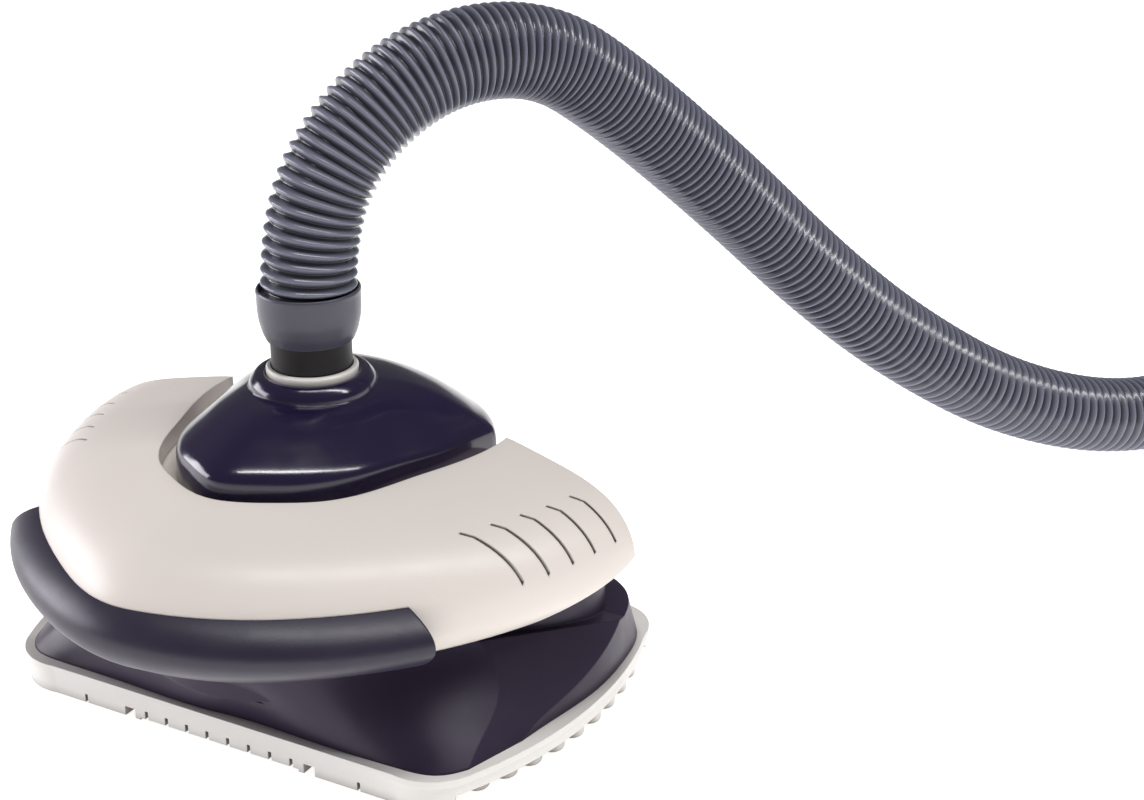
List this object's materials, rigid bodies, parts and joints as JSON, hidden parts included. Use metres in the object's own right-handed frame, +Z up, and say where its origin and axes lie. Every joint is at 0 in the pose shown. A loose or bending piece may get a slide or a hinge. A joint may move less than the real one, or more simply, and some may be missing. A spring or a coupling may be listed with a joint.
{
  "type": "suction pool cleaner head with hose section",
  "caption": "Suction pool cleaner: castellated foot, navy hull and dome, white horseshoe shell, bumper, swivel outlet and ribbed hose.",
  "frame": {"origin": "on the floor straight below the vertical outlet axis", "axes": "+Z up, the nose and the straight castellated foot edge face -Y, +X is the right-hand arm"},
  "size_m": [0.5676, 0.8568, 0.32],
  "materials": {
    "foot_white": "satin",
    "hull_navy": "gloss",
    "shell_white": "satin",
    "bumper_violet": "satin",
    "dome_navy": "gloss",
    "ring_white": "satin",
    "steel": "brushed",
    "tube_dark": "satin",
    "pipe_black": "matte",
    "hose_blue": "gloss",
    "cuff_blue": "satin",
    "flapper_rubber": "matte",
    "ballast_iron": "matte",
    "float_foam": "matte"
  },
  "bodies": {
    "head": {"foot_pad": "foot_white", "foot_screws": "steel", "lower_hull": "hull_navy", "upper_shell": "shell_white", "front_bumper": "bumper_violet", "shell_screws": "steel", "dome_cover": "dome_navy", "bearing_ring": "ring_white", "bearing_balls": "steel", "outlet_pipe": "pipe_black", "intake_throat": "pipe_black", "chamber_screws": "steel", "chamber_right": "pipe_black", "chamber_left": "pipe_black", "oscillator_pin": "steel", "seat_front": "flapper_rubber", "seat_rear": "flapper_rubber", "ballast_right": "ballast_iron", "ballast_left": "ballast_iron", "float_right": "float_foam", "float_left": "float_foam"},
    "swivel": {"swivel_tube": "tube_dark", "hose_cuff": "cuff_blue", "hose": "hose_blue", "hose_end_cuff": "cuff_blue"},
    "flapper": {"oscillator": "flapper_rubber"}
  },
  "joints": [
    {"name": "neck_swivel", "type": "hinge", "parent": "head", "child": "swivel", "pos_m": [0, 0, 0.135], "axis": [0, 0, 1], "continuous": true},
    {"name": "oscillator_swing", "type": "hinge", "parent": "head", "child": "flapper", "pos_m": [0, 0, 0.0675], "axis": [1, 0, 0], "range_deg": [-30, 30]}
  ]
}
